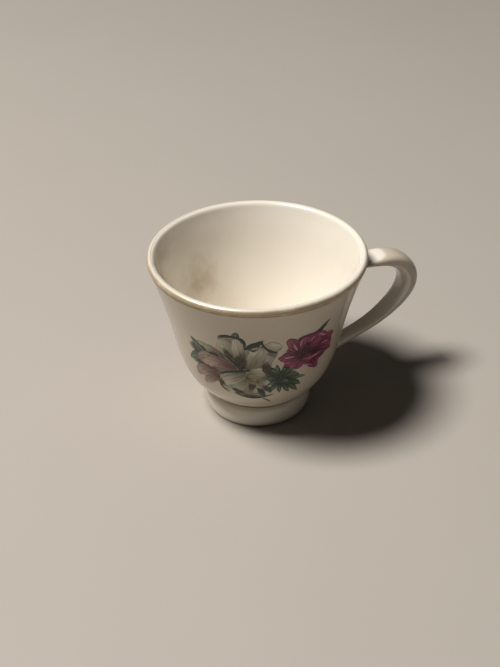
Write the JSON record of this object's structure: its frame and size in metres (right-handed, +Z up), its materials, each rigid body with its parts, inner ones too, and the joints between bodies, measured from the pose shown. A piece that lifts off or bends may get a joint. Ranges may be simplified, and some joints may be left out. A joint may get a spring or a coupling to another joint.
{
  "type": "teacup",
  "caption": "Small footed porcelain teacup with a flared rim, a strap handle, a worn gilded lip and a fired floral decal.",
  "frame": {"origin": "middle of the standing ring, on the plane the cup stands on, on the cup's own axis", "axes": "+Z up along the cup's axis, +X from the axis towards the handle"},
  "size_m": [0.0917, 0.0702, 0.0573],
  "materials": {
    "glaze": "glossy, slightly crazed and tea stained",
    "bare_slip": "matt, unglazed",
    "gilding": "worn fired gold, satin",
    "white_flower": "fired overglaze print, satin",
    "magenta_flower": "fired overglaze print, satin"
  },
  "bodies": {
    "root": {"bowl": "glaze", "foot_ring": "glaze", "foot_slip_joint": "bare_slip", "handle": "glaze", "handle_upper_slip_joint": "glaze", "handle_lower_slip_joint": "glaze", "rim_gilding": "gilding", "white_flower_decal": "white_flower", "magenta_flower_decal": "magenta_flower"}
  },
  "joints": []
}
